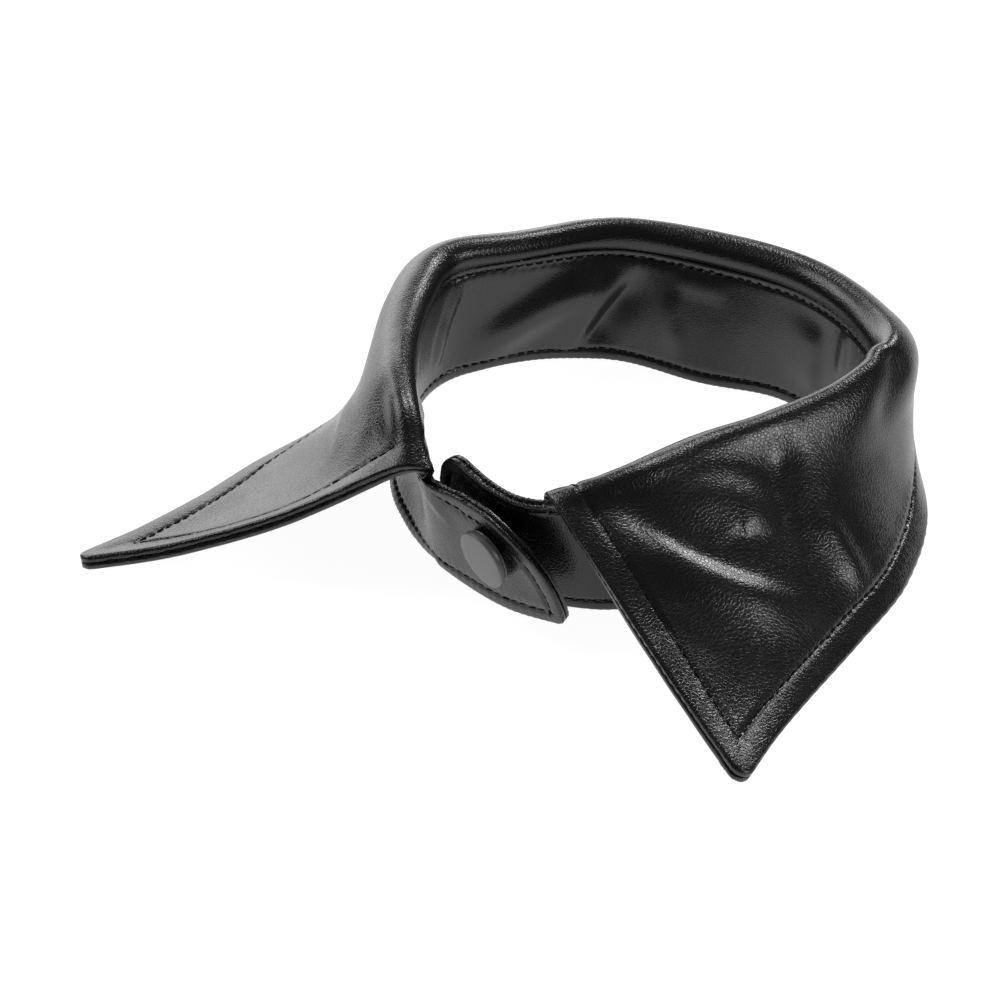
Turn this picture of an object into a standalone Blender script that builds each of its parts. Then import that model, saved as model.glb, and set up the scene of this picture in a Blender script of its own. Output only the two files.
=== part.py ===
"""Detachable shirt collar of coated leather cloth, closed by one snap, standing on its foot and its tips.

Run it with: blender --background --python part.py
Metres, +Z up. The front of the collar faces -Y, the wearer's left is +X, and it rests on Z = 0.

The stand is one long strip round the neck. Its rows run from the end of the tab, which carries the
snap's cap, round the wearer's right side, the back and the wearer's left side to the end of the
underlap, which lies inside the tab. The leaf is sewn to the stand's top edge, rolls over it and falls
outside. Stand and leaf each have two plies, which lie on the two sides of one middle surface.
"""

import math
from collections import namedtuple

import bmesh
import bpy
from mathutils import Matrix, Vector

MM = 0.001
UP = Vector((0, 0, 1))
NECK = Vector((1.7, 14.6, 0)) * MM  # where the tables below are measured from: the middle of the neck

# Cloth
PLY = 1.3 * MM  # one ply of coated cloth with its backing
TURNED_EDGE = 0.9 * MM  # what a turned edge adds to it along the leaf's free edges
SEAM_GAP = 0.3 * MM  # clear space between pieces that touch
SKIN = SEAM_GAP / 2  # from the middle surface to the near side of a ply
WALL = SKIN + PLY  # from the middle surface to the far side of a ply

# Snap
SNAP_ROW = 1.22  # where it sits, counted in stand rows from the tab's end
SNAP_HEIGHT = 0.61  # and as a share of the stand's height
CAP_RADIUS = 7.5 * MM
CAP_THICK = 2.5 * MM
CAP_TILT = math.radians(5)  # the cap leans off the cloth towards the tab's end
CAP_EDGE = 0.5 * MM  # rounding of its rim
DISC_RADIUS = 5.2 * MM  # socket and stud
SOCKET_THICK = 1.0 * MM
STUD_THICK = 0.5 * MM
WASHER_RADIUS = 4.5 * MM
POST_RADIUS = 1.8 * MM
HOLE_RADIUS = POST_RADIUS + 0.5 * MM
SEAT_GAP = 0.4 * MM  # between a flat disc and the curved cloth it sits on
TILT_GAP = CAP_RADIUS * math.sin(CAP_TILT)  # what the leaning cap needs besides
UNDERLAP_GAP = 1.5 * MM  # between the underlap, which isn't parallel to the tab, and the discs on it
ROUND_STEPS = 24

# Mesh density
STAND_STEPS_PER_ROW = 4
STAND_SHARES = (0.0, 0.2, 0.4, 0.6, 0.8, 0.9, 1.0)
LEAF_STEPS_PER_ROW = 4
LEAF_SHARES = (0.0, 0.08, 0.16, 0.25, 0.33, 0.42, 0.5, 0.6, 0.7, 0.8, 0.9, 1.0)

# The stand in millimetres from NECK: foot and top of its middle surface, and how far its wall bulges inward
StandRow = namedtuple("StandRow", "foot_x foot_y foot_z top_x top_y top_z bulge")
STAND_ROWS = (
    StandRow(21, -68, 2, 24, -78, 29, 0),  # end of the tab
    StandRow(8, -65, 1, 8, -73, 29, 0),
    StandRow(-5, -62, 0, -5, -68, 29, 0),
    StandRow(-19, -56, 0, -18, -62, 27, 0),  # the leaf starts above this row
    StandRow(-33, -46, 0, -28, -52, 30, 4),
    StandRow(-45, -33, 0, -38, -38, 32, 4),
    StandRow(-54, -15, 0, -48, -20, 32, 2),
    StandRow(-61, 5, 0, -56, 0, 32, 0),
    StandRow(-60, 23, 0, -60, 21, 32, 0),
    StandRow(-46, 42, 0, -49, 37, 32, 0),
    StandRow(-25, 53, 0, -28, 56, 32, 0),
    StandRow(0, 53, 0, 0, 60, 32, 0),
    StandRow(22, 56, 0, 26, 58, 32, 0),
    StandRow(44, 47, 0, 47, 46, 32, 0),
    StandRow(59, 28, 0, 60, 29, 32, 0),
    StandRow(60, 6, 0, 57, 6, 32, 0),
    StandRow(53, -15, 0, 48, -15, 32, 0),
    StandRow(43, -34, 0, 38, -33, 32, 0),
    StandRow(33, -50, 0, 29, -53, 32, 0),
    StandRow(21, -57, 0, 15, -64, 31, 0),  # the leaf ends above this row
    StandRow(3, -58.5, 0, 1, -63.5, 31, 0),
    StandRow(-17, -52, 1, -20, -55, 35, 0),  # end of the underlap
)
TAB_SLANT = 0.7  # how far the tab's end leans back over its height, in stand rows
TAB_CORNER = 0.7  # length of its rounded top corner, in stand rows
UNDERLAP_SLANT = 0.1
UNDERLAP_CORNER = 0.4
CORNER_START = 0.6  # height at which the rounded corners begin

# The leaf in millimetres from NECK: place counts stand rows, crest is measured from the seam, hem is the outer
# edge of the leaf, and belly is how far the face swells out between crest and hem
LeafRow = namedtuple("LeafRow", "place crest_out crest_up hem_x hem_y hem_z belly")
LEAF_ROWS = (
    LeafRow(3.0, 5, 3.5, -92, -106, 3.5, -4),  # front edge of the right leaf, down to its tip
    LeafRow(3.5, 4, 6, -88, -87, 2.5, -5),
    LeafRow(4.2, 4, 8, -83, -66, 2, -5),
    LeafRow(5.2, 4, 7, -79, -44, 2, -4),
    LeafRow(6.2, 4, 6, -73, -22, 2, -3),
    LeafRow(7.2, 4, 6, -68, 0, 2, -2),
    LeafRow(8.2, 4, 6, -66, 26, 2, 0),
    LeafRow(9.2, 4, 5, -51, 50, 2, 0),
    LeafRow(10.2, 4, 4, -32, 67, 2, 1),
    LeafRow(11.2, 4, 6, 2, 74, 2, 1),
    LeafRow(12.2, 5, 6, 32, 72, 2, 1),
    LeafRow(13.2, 5, 6, 55, 56, 2, 0),
    LeafRow(14.2, 6, 8, 67, 38, 2, -1),
    LeafRow(15.2, 5, 7, 81, 12, 2, -2),
    LeafRow(16.2, 5, 7, 87, -16, 2, 1),
    LeafRow(17.2, 5, 7, 87, -42, 2, 1),
    LeafRow(18.0, 4, 6, 86, -68, 2, 1),
    LeafRow(18.5, 4, 5, 86, -88, 2.5, 0),
    LeafRow(19.0, 4, 3.5, 87, -105, 3.5, -1),  # front edge of the left leaf, down to its tip
)
RISE_UP = 0.55  # the roll's inner side, as shares of the crest's height: it leans over the neck a little
RISE_LEAN = 0.22
SHOULDER_OUT = 2.0  # the roll's outer side, as multiples of the crest's reach and height
SHOULDER_UP = 0.2
HEM_START = 0.8  # share of the leaf at which its turned hem begins

# The largest folds: each runs over three spots of the cloth, given by row and by share of its height, and has a
# width on each side and a depth in millimetres. The first width is on the hem's side of a fold that runs toward
# higher rows. A depth above zero is a ridge, and one below is a trough.
Fold = namedtuple("Fold", "row_a up_a row_b up_b row_c up_c width far_width depth")
LEAF_FOLDS = (
    Fold(15.1, 0.90, 16.2, 0.695, 17.3, 0.50, 9, 6, 1.8),  # left leaf, across its middle
    Fold(15.2, 0.72, 15.05, 0.585, 16.5, 0.455, 7, 5, 1.6),  # under the roll, turning down
    Fold(13.7, 0.47, 14.5, 0.60, 15.1, 0.82, 5, 6, -1.8),
    Fold(12.05, 0.36, 12.5, 0.48, 13.0, 0.60, 5, 5, -1.4),  # below the pinched corner
    Fold(5.0, 0.60, 5.4, 0.75, 6.2, 0.90, 6, 5, 1.2),  # right side
    Fold(8.6, 0.58, 9.3, 0.72, 10.4, 0.80, 6, 5, 1.4),  # back
    Fold(10.9, 0.50, 11.2, 0.70, 11.9, 0.88, 7, 5, -1.2),
)
STAND_FOLDS = (
    Fold(9.97, 0.78, 9.22, 0.50, 7.98, 0.05, 5, 5, 1.5),  # across the back, on the right
    Fold(12.36, 0.84, 12.37, 0.48, 12.48, 0.10, 4, 8, 1.4),  # across the back, on the left
    Fold(14.60, 0.88, 14.79, 0.55, 15.17, 0.20, 5, 5, 1.3),  # left side
)
FOLD_FADE = 0.35  # share of a fold's length over which each end fades
FOLD_STEPS = 48  # spots along a fold's path
SEAM_HOLD = 6  # how quickly folds begin beside the seam of stand and leaf, which stays flat


def spline(points, place):
    """The point at place, counted in points, on a smooth curve through the points."""
    last = len(points) - 1
    start = max(0, min(int(place), last - 1))
    share = place - start
    here, there = points[start], points[start + 1]
    before = points[start - 1] if start > 0 else here * 2 - there
    after = points[start + 2] if start + 2 <= last else there * 2 - here
    leave, arrive = (there - before) / 2, (after - here) / 2
    square, cube = share**2, share**3
    return (
        here * (2 * cube - 3 * square + 1)
        + leave * (cube - 2 * square + share)
        + there * (3 * square - 2 * cube)
        + arrive * (cube - square)
    )


FEET = [NECK + Vector((row.foot_x, row.foot_y, row.foot_z)) * MM for row in STAND_ROWS]
TOPS = [NECK + Vector((row.top_x, row.top_y, row.top_z)) * MM for row in STAND_ROWS]
BULGES = [Vector((row.bulge, 0, 0)) * MM for row in STAND_ROWS]
HEMS = [NECK + Vector((row.hem_x, row.hem_y, row.hem_z)) * MM for row in LEAF_ROWS]
CRESTS = [Vector((row.crest_out, row.crest_up, row.belly)) * MM for row in LEAF_ROWS]
PLACES = [Vector((row.place, 0, 0)) for row in LEAF_ROWS]


def stand_point(place, height):
    """A point of the stand's middle surface; height is 0 at the foot and 1 at the top edge."""
    foot = spline(FEET, place)
    run = spline(FEET, place + 0.02) - spline(FEET, place - 0.02)
    inward = Vector((run.y, -run.x, 0)).normalized()
    bulge = spline(BULGES, place).x * 4 * height * (1 - height)
    return foot.lerp(spline(TOPS, place), height) + inward * bulge


def end_cut(height, slant, corner):
    """How far an end of the stand is cut back at this height, in stand rows: a slant with a round corner."""
    climb = max(0.0, (height - CORNER_START) / (1 - CORNER_START))
    return slant * height**2 + corner * (1 - math.sqrt(1 - climb**2))


def stand_place(share, height):
    """The stand row at a share of the strip's length, between its two shaped ends."""
    first = end_cut(height, TAB_SLANT, TAB_CORNER)
    last = len(STAND_ROWS) - 1 - end_cut(height, UNDERLAP_SLANT, UNDERLAP_CORNER)
    return first + (last - first) * share


def leaf_point(row, share):
    """A point of the leaf's middle surface; share is 0 at the seam and 1 at the hem."""
    top = stand_point(spline(PLACES, row).x, 1)
    below = stand_point(spline(PLACES, row).x, 0.8)
    seam = top + (top - below).normalized() * SEAM_GAP
    hem = spline(HEMS, row)
    reach, climb, belly = spline(CRESTS, row)
    out = Vector((hem.x - seam.x, hem.y - seam.y, 0)).normalized()
    rise = seam + UP * climb * RISE_UP - out * climb * RISE_LEAN
    crest = seam + UP * climb + out * reach
    shoulder = seam + UP * climb * SHOULDER_UP + out * reach * SHOULDER_OUT
    face = (hem - shoulder).normalized()
    swell = (out - face * out.dot(face)).normalized() * belly
    upper = shoulder.lerp(hem, 1 / 3) + swell
    lower = shoulder.lerp(hem, 2 / 3) + swell
    section = [seam, rise, crest, shoulder, upper, lower, hem]
    return spline(section, share * (len(section) - 1))


def normal_at(surface, across, up):
    """Unit normal of a surface: into the neck on the stand, upward and outward on the leaf's face."""
    step = 0.02
    along = surface(across + step, up) - surface(across - step, up)
    rise = surface(across, up + step) - surface(across, up - step)
    return along.cross(rise).normalized()


def smooth(share):
    """An even start and stop between 0 and 1."""
    share = max(0.0, min(1.0, share))
    return share * share * (3 - 2 * share)


def fold_path(surface, fold):
    """Spots along a fold: how far along each is, its row and share, and its point."""
    path = []
    for step in range(FOLD_STEPS + 1):
        along = step / FOLD_STEPS
        parts = ((1 - along) * (1 - 2 * along), 4 * along * (1 - along), along * (2 * along - 1))
        row = fold.row_a * parts[0] + fold.row_b * parts[1] + fold.row_c * parts[2]
        up = fold.up_a * parts[0] + fold.up_b * parts[1] + fold.up_c * parts[2]
        path.append((along, row, up, surface(row, up)))
    return path


def fold_height(fold, path, point, row, up):
    """How far a fold lifts a point off the plain surface."""
    nearest = min(range(len(path)), key=lambda index: (path[index][3] - point).length_squared)
    along, path_row, path_up, path_point = path[nearest]
    before, after = path[max(0, nearest - 1)], path[min(len(path) - 1, nearest + 1)]
    side = (after[1] - before[1]) * (up - path_up) - (after[2] - before[2]) * (row - path_row)
    width = (fold.width if side > 0 else fold.far_width) * MM
    fade = smooth(min(along, 1 - along) / FOLD_FADE)
    return fold.depth * MM * fade * math.exp(-((point - path_point).length_squared) / width**2)


def folded(surface, folds, seam_up):
    """The surface with its folds, which leave the seam at seam_up flat."""
    paths = [(fold, fold_path(surface, fold)) for fold in folds]

    def with_folds(row, up):
        point = surface(row, up)
        height = sum(fold_height(fold, path, point, row, up) for fold, path in paths)
        return point + normal_at(surface, row, up) * height * smooth(abs(up - seam_up) * SEAM_HOLD)

    return with_folds


stand_cloth = folded(stand_point, STAND_FOLDS, 1)
leaf_cloth = folded(leaf_point, LEAF_FOLDS, 0)


def material(name, color, roughness, metallic=0.0):
    """A Principled material with plain values."""
    made = bpy.data.materials.new(name)
    made.use_nodes = True
    shader = made.node_tree.nodes["Principled BSDF"]
    shader.inputs["Base Color"].default_value = (*color, 1)
    shader.inputs["Roughness"].default_value = roughness
    shader.inputs["Metallic"].default_value = metallic
    return made


def add_object(name, bm, surface_material):
    """Put a finished mesh into the scene as one named object."""
    bmesh.ops.recalc_face_normals(bm, faces=bm.faces)
    mesh = bpy.data.meshes.new(name)
    bm.to_mesh(mesh)
    bm.free()
    mesh.materials.append(surface_material)
    mesh.shade_smooth()
    mesh.set_sharp_from_angle(angle=math.radians(40))
    made = bpy.data.objects.new(name, mesh)
    bpy.context.scene.collection.objects.link(made)
    return made


def ply(name, columns, shares, layer, surface_material):
    """A closed wall: a flat grid that is extruded once and laid on two layers of a curved surface.

    layer(share_across, share_up, far) gives a point on the ply's near or far side.
    """
    bm = bmesh.new()
    bmesh.ops.create_grid(bm, x_segments=columns, y_segments=len(shares) - 1, size=1)
    spots = {vert: ((vert.co.x + 1) / 2, (vert.co.y + 1) / 2) for vert in bm.verts}
    raised = bmesh.ops.extrude_face_region(bm, geom=bm.faces[:], use_keep_orig=True)["geom"]
    far_verts = [item for item in raised if isinstance(item, bmesh.types.BMVert)]
    far_spots = {vert: ((vert.co.x + 1) / 2, (vert.co.y + 1) / 2) for vert in far_verts}
    for found, far in ((spots, False), (far_spots, True)):
        for vert, (across, up) in found.items():
            share = shares[round(up * (len(shares) - 1))]
            vert.co = layer(across, share, far)
    return add_object(name, bm, surface_material)


def stand_ply(name, side, surface_material):
    """One ply of the stand; side is 1 for the ply next to the neck and -1 for the outer one."""

    def layer(across, height, far):
        place = stand_place(across, height)
        point = stand_cloth(place, height)
        moved = point + normal_at(stand_cloth, place, height) * side * (WALL if far else SKIN)
        if height == 0:
            moved.z = max(0, point.z)
        return moved

    columns = (len(STAND_ROWS) - 1) * STAND_STEPS_PER_ROW
    return ply(name, columns, STAND_SHARES, layer, surface_material)


def leaf_ply(name, side, surface_material):
    """One ply of the leaf; side is 1 for the upper ply, which shows, and -1 for the one beneath."""

    last = len(LEAF_ROWS) - 1

    def layer(across, share, far):
        row = across * last
        free_edge = max(1 - row, 1 - (last - row), (share - HEM_START) / (1 - HEM_START), 0)
        thick = WALL + TURNED_EDGE * free_edge * min(1, max(0, share * 3 - 1))
        normal = normal_at(leaf_cloth, row, share)
        if share == 0:
            normal = normal_at(stand_point, spline(PLACES, row).x, 1)
        moved = leaf_cloth(row, share) + normal * side * (thick if far else SKIN)
        moved.z = max(0, moved.z)
        return moved

    columns = (len(LEAF_ROWS) - 1) * LEAF_STEPS_PER_ROW
    return ply(name, columns, LEAF_SHARES, layer, surface_material)


def turned(name, profile, place, surface_material):
    """A round piece: a profile of (radius, height) spun round the snap's axis."""
    bm = bmesh.new()
    verts = [bm.verts.new((radius, 0, height)) for radius, height in profile]
    pairs = zip(verts, verts[1:] + verts[:1]) if profile[0][0] > 0 else zip(verts, verts[1:])
    edges = [bm.edges.new(pair) for pair in pairs]
    bmesh.ops.spin(
        bm, geom=verts + edges, cent=(0, 0, 0), axis=UP, angle=math.tau, steps=ROUND_STEPS, use_merge=True
    )
    bmesh.ops.remove_doubles(bm, verts=bm.verts, dist=1e-6)
    made = add_object(name, bm, surface_material)
    made.matrix_world = place
    return made


def snap_axis():
    """The snap's place on the tab's middle surface, as a matrix whose Z points outward."""
    spot = stand_point(SNAP_ROW, SNAP_HEIGHT)
    outward = -normal_at(stand_point, SNAP_ROW, SNAP_HEIGHT)
    return Matrix.Translation(spot) @ outward.to_track_quat("Z", "Y").to_matrix().to_4x4()


def underlap_depth(axis_place):
    """How far inside the tab's middle surface the snap's axis meets the underlap's."""
    into_axis = axis_place.inverted()
    place, height, step = len(STAND_ROWS) - 1.9, SNAP_HEIGHT, 0.2
    while step > 1e-4:
        tries = [(place + a * step, height + b * step) for a in (-1, 0, 1) for b in (-1, 0, 1)]
        best = min(tries, key=lambda spot: (into_axis @ stand_point(*spot)).xy.length)
        if best == (place, height):
            step /= 2
        place, height = best
    return -(into_axis @ stand_point(place, height)).z


def snap(black, metal):
    """Cap, socket, stud and washer of the fastened snap, and the cutter for its holes."""
    place = snap_axis()
    depth = underlap_depth(place)
    seat = WALL + SEAT_GAP
    cap_base = seat + TILT_GAP
    crown = cap_base + CAP_THICK
    socket_top = -seat
    socket_base = socket_top - SOCKET_THICK
    post_end = socket_top - SOCKET_THICK / 2
    cap = [
        (0, post_end),
        (POST_RADIUS, post_end),
        (POST_RADIUS, cap_base),
        (CAP_RADIUS - CAP_EDGE, cap_base),
        (CAP_RADIUS, cap_base + CAP_EDGE),
        (CAP_RADIUS, crown - CAP_EDGE),
        (CAP_RADIUS - CAP_EDGE, crown),
        (0, crown),
    ]
    turned("snap_cap", cap, place @ Matrix.Rotation(-CAP_TILT, 4, "Y"), black)
    socket = [
        (HOLE_RADIUS, socket_top),
        (DISC_RADIUS, socket_top),
        (DISC_RADIUS, socket_base),
        (HOLE_RADIUS, socket_base),
    ]
    turned("snap_socket", socket, place, metal)
    stud_base = -depth + WALL + UNDERLAP_GAP
    washer_top = -depth - WALL - UNDERLAP_GAP
    washer_base = washer_top - STUD_THICK
    stud = [
        (0, washer_base),
        (POST_RADIUS, washer_base),
        (POST_RADIUS, stud_base),
        (DISC_RADIUS, stud_base),
        (DISC_RADIUS, stud_base + STUD_THICK),
        (POST_RADIUS, stud_base + STUD_THICK),
        (POST_RADIUS, post_end - SEAM_GAP),
        (0, post_end - SEAM_GAP),
    ]
    turned("snap_stud", stud, place, metal)
    washer = [
        (HOLE_RADIUS, washer_top),
        (WASHER_RADIUS, washer_top),
        (WASHER_RADIUS, washer_base),
        (HOLE_RADIUS, washer_base),
    ]
    turned("snap_washer", washer, place, metal)
    drill = [(0, -2 * depth), (HOLE_RADIUS, -2 * depth), (HOLE_RADIUS, depth), (0, depth)]
    cutter = turned("snap_drill", drill, place, metal)
    cutter.hide_render = True
    cutter.display_type = "WIRE"
    print(f"snap: {depth / MM:.2f} mm between tab and underlap")
    return cutter


def main():
    for old in list(bpy.data.objects):
        bpy.data.objects.remove(old)
    leather = material("leather_black", (0.012, 0.012, 0.013), 0.42)
    lining = material("leather_black_lining", (0.014, 0.014, 0.015), 0.5)
    lacquer = material("lacquered_metal_black", (0.02, 0.02, 0.02), 0.3)
    steel = material("blackened_steel", (0.12, 0.12, 0.12), 0.35, 1.0)
    stands = [stand_ply("stand_outer", -1, leather), stand_ply("stand_inner", 1, lining)]
    leaf_ply("leaf_upper", 1, leather)
    leaf_ply("leaf_under", -1, lining)
    drill = snap(lacquer, steel)
    for stand in stands:
        hole = stand.modifiers.new("snap_holes", "BOOLEAN")
        hole.operation = "DIFFERENCE"
        hole.object = drill


main()
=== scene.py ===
# %% [markdown]
# # A detachable shirt collar of black leather
#
# This lesson dresses a collar that stands by itself on a table. The solids of the collar are
# already made: a stand strip with a tab and an underlap, a leaf that rolls over it, and a snap.
# Here each piece gets its thin cloth with turned edges, soft creases and stitches, and the
# leather, metal and thread that cover it.
# %% Load the collar's solids
import math
from collections import namedtuple

import bmesh
import bpy
import numpy as np
from mathutils import Matrix, Vector, noise
from mathutils.bvhtree import BVHTree
from mathutils.kdtree import KDTree


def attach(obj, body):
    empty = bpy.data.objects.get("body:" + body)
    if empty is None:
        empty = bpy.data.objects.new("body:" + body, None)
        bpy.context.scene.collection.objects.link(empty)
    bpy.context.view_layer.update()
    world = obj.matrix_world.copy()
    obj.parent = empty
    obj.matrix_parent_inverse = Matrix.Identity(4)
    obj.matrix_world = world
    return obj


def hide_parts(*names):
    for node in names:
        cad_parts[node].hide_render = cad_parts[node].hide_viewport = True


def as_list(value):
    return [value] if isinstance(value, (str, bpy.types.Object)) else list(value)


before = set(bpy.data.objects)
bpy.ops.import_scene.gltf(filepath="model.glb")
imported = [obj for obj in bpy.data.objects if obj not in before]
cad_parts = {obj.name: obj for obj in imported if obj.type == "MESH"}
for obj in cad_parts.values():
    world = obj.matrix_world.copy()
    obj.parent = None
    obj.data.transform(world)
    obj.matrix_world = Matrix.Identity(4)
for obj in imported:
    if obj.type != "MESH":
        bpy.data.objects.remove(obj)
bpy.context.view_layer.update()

MM = 0.001
print("solids:", sorted(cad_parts))

# %% [markdown]
# ## The two surfaces of a collar
#
# A collar is a stand, which is a strip round the neck, and a leaf, which is sewn to its top edge
# and folds down outside it. Both could be drawn by hand in sculpt mode, but a garment is measured
# work: a few sections, each with named sizes in millimetres, and one smooth surface through them.
# The same sections gave the solids, so the cloth lies where they are. The rows run from the end
# of the tab, round the wearer's right side, the back and the left side, to the end of the
# underlap.
# %% Sections of the stand, in millimetres from the middle of the neck
NECK = np.array((1.7, 14.6, 0.0))

StandRow = namedtuple("StandRow", "foot_x foot_y foot_z top_x top_y top_z bulge")
STAND_ROWS = (
    StandRow(24, -69, 3.3, 25, -78, 29, 0),  # end of the tab
    StandRow(8, -66, 0.7, 8, -73, 29, 0),
    StandRow(-5, -62, 0, -5, -68, 29, 0),
    StandRow(-19, -56, 0, -18, -62, 27, 0),  # the leaf starts above this row
    StandRow(-33, -46, 0, -28, -52, 30, 4),
    StandRow(-45, -33, 0, -38, -38, 32, 4),
    StandRow(-54, -15, 0, -48, -20, 32, 2),
    StandRow(-61, 5, 0, -56, 0, 32, 0),
    StandRow(-60, 23, 0, -60, 21, 32, 0),
    StandRow(-46, 42, 0, -49, 37, 32, 0),
    StandRow(-25, 53, 0, -28, 56, 32, 0),
    StandRow(0, 53, 0, 0, 60, 32, 0),
    StandRow(22, 56, 0, 26, 58, 32, 0),
    StandRow(44, 47, 0, 47, 46, 32, 0),
    StandRow(59, 28, 0, 60, 29, 32, 0),
    StandRow(60, 6, 0, 57, 6, 32, 0),
    StandRow(53, -15, 0, 48, -15, 32, 0),
    StandRow(43, -34, 0, 38, -33, 32, 0),
    StandRow(33, -50, 0, 29, -53, 32, 0),
    StandRow(21, -57, 0, 15, -64, 31, 0),  # the leaf ends above this row
    StandRow(3, -58.5, 0, 1, -63.5, 31, 0),
    StandRow(-17, -52, 1, -20, -55, 35, 0),  # end of the underlap
)
TAB_SLANT = 0.7  # how far the tab's end leans back over its height, in stand rows
TAB_CORNER = 0.7  # length of its rounded top corner, in stand rows
UNDERLAP_SLANT = 0.1
UNDERLAP_CORNER = 0.4
CORNER_START = 0.6  # height at which the rounded corners begin
print(len(STAND_ROWS), "sections on the stand")

# %% Sections of the leaf
LeafRow = namedtuple("LeafRow", "place crest_out crest_up hem_x hem_y hem_z belly")
LEAF_ROWS = (
    LeafRow(3.0, 5, 2.2, -95, -108, 3.2, -4),  # front edge of the right leaf, down to its tip
    LeafRow(3.5, 4, 5, -88, -87, 2.5, -5),
    LeafRow(4.2, 4, 8, -83, -66, 2, -5),
    LeafRow(5.2, 4, 7, -79, -44, 2, -4),
    LeafRow(6.2, 4, 6, -73, -22, 2, -3),
    LeafRow(7.2, 4, 6, -68, 0, 2, -2),
    LeafRow(8.2, 4, 6, -66, 26, 2, 0),
    LeafRow(9.2, 4, 4.2, -51, 50, 2, 0),
    LeafRow(10.2, 4, 6.2, -32, 67, 2, 1),
    LeafRow(11.2, 4, 6.8, 2, 74, 2, 1),
    LeafRow(12.2, 5, 6, 32, 72, 2, 1),
    LeafRow(13.2, 5, 6, 55, 56, 2, 0),
    LeafRow(14.2, 6, 8, 67, 38, 2, -1),
    LeafRow(15.2, 5, 7, 81, 12, 2, -2),
    LeafRow(16.2, 5, 7, 87, -16, 2, 1),
    LeafRow(17.2, 5, 7, 87, -42, 2, 1),
    LeafRow(18.0, 4, 6, 86, -68, 2, 1),
    LeafRow(18.5, 4, 4.5, 86, -88, 2.5, 0),
    LeafRow(19.0, 4, 2.0, 87.5, -107, 3.2, -1),  # front edge of the left leaf, down to its tip
)
RISE_UP, RISE_LEAN = 0.62, 0.20  # the roll's inner side, as shares of the crest's height
CREST_SHARE = 0.7  # how far out the roll turns over, as a share of the crest's reach
SHOULDER_OUT, SHOULDER_UP = 2.0, 0.2  # its outer side: multiples of the crest's reach and height
SEAM_GAP = 0.3  # clear space between pieces that touch
print(len(LEAF_ROWS), "sections on the leaf")

# %% The sections as arrays
FEET = NECK + np.array([(row.foot_x, row.foot_y, row.foot_z) for row in STAND_ROWS])
TOPS = NECK + np.array([(row.top_x, row.top_y, row.top_z) for row in STAND_ROWS])
BULGES = np.array([(row.bulge,) for row in STAND_ROWS])
HEMS = NECK + np.array([(row.hem_x, row.hem_y, row.hem_z) for row in LEAF_ROWS])
CRESTS = np.array([(row.crest_out, row.crest_up, row.belly) for row in LEAF_ROWS])
PLACES = np.array([(row.place,) for row in LEAF_ROWS])
UP = np.array((0.0, 0.0, 1.0))
print("the foot is", np.ptp(FEET, axis=0)[:2], "mm wide and deep")

# %% [markdown]
# ## A smooth curve through the sections
#
# Blender's own splines could join the sections, but here the cloth needs thousands of points at
# once, with the direction in which it faces. A Catmull-Rom curve passes through every section and
# is a few lines of arithmetic, and numpy works it out for all the points in one go.
# %% Arithmetic with many vectors
TINY = 1e-9  # keeps the division for a vector of no length from failing


def length(vectors):
    """The length of each vector."""
    return np.linalg.norm(vectors, axis=-1, keepdims=True)


def unit(vectors):
    """The same directions, each one unit long."""
    return vectors / np.maximum(length(vectors), TINY)


def dot(one, other):
    """The dot product of each pair of vectors."""
    return np.sum(one * other, axis=-1, keepdims=True)


print("3 mm across and 4 mm up is", length(np.array((3.0, 4.0)))[0], "mm in a straight line")


# %% The curve
def curve_between(before, here, there, after, share):
    """Points between here and there on a curve that also heeds the sections on either side."""
    leave, arrive = (there - before) / 2, (after - here) / 2
    square, cube = share**2, share**3
    return (
        here * (2 * cube - 3 * square + 1)
        + leave * (cube - 2 * square + share)
        + there * (3 * square - 2 * cube)
        + arrive * (cube - square)
    )


def curve_through(pick, last, place):
    """Points on the smooth curve through sections 0 to last, which pick finds by their number."""
    start = np.clip(np.floor(place), 0, last - 1).astype(int)
    here, there = pick(start), pick(start + 1)
    before = np.where(start[..., None] > 0, pick(np.maximum(start - 1, 0)), 2 * here - there)
    beyond = start[..., None] + 2 > last
    after = np.where(beyond, 2 * there - here, pick(np.minimum(start + 2, last)))
    return curve_between(before, here, there, after, (place - start)[..., None])


def spline(sections, place):
    """Points on the smooth curve through a table's rows, where place counts rows."""
    return curve_through(lambda number: sections[number], len(sections) - 1, place)


def spline_across(sections, share):
    """The same for a stack of sections, one for each point, where share goes from 0 to 1."""
    last = len(sections) - 1

    def pick(number):
        """For each point, its own section of that number."""
        return np.take_along_axis(sections, number[None, ..., None], axis=0)[0]

    return curve_through(pick, last, share * last)


print("halfway between the first two feet:", spline(FEET, np.array(0.5)).round(1))

# %% The middle surface of the stand
HALF_STEP = 0.02  # stand rows to each side, between which the foot's direction is taken


def stand_point(place, height):
    """The stand's middle surface; height is 0 at the foot and 1 at the top edge."""
    run = spline(FEET, place + HALF_STEP) - spline(FEET, place - HALF_STEP)
    inward = unit(np.stack((run[..., 1], -run[..., 0], 0 * run[..., 0]), axis=-1))
    rise = height[..., None]
    bulge = spline(BULGES, place) * 4 * rise * (1 - rise)
    foot = spline(FEET, place)
    return foot + (spline(TOPS, place) - foot) * rise + inward * bulge


def stand_place(share, height):
    """The stand row at a share of the strip's length, between its slanted, rounded ends."""
    climb = np.maximum(0, (height - CORNER_START) / (1 - CORNER_START))
    rounding = 1 - np.sqrt(np.maximum(0, 1 - climb**2))
    first = TAB_SLANT * height**2 + TAB_CORNER * rounding
    last = len(STAND_ROWS) - 1 - UNDERLAP_SLANT * height**2 - UNDERLAP_CORNER * rounding
    return first + (last - first) * share


def stand_strip(share, height):
    """The same surface, by the share of the strip's length."""
    return stand_point(stand_place(share, height), height)


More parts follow.
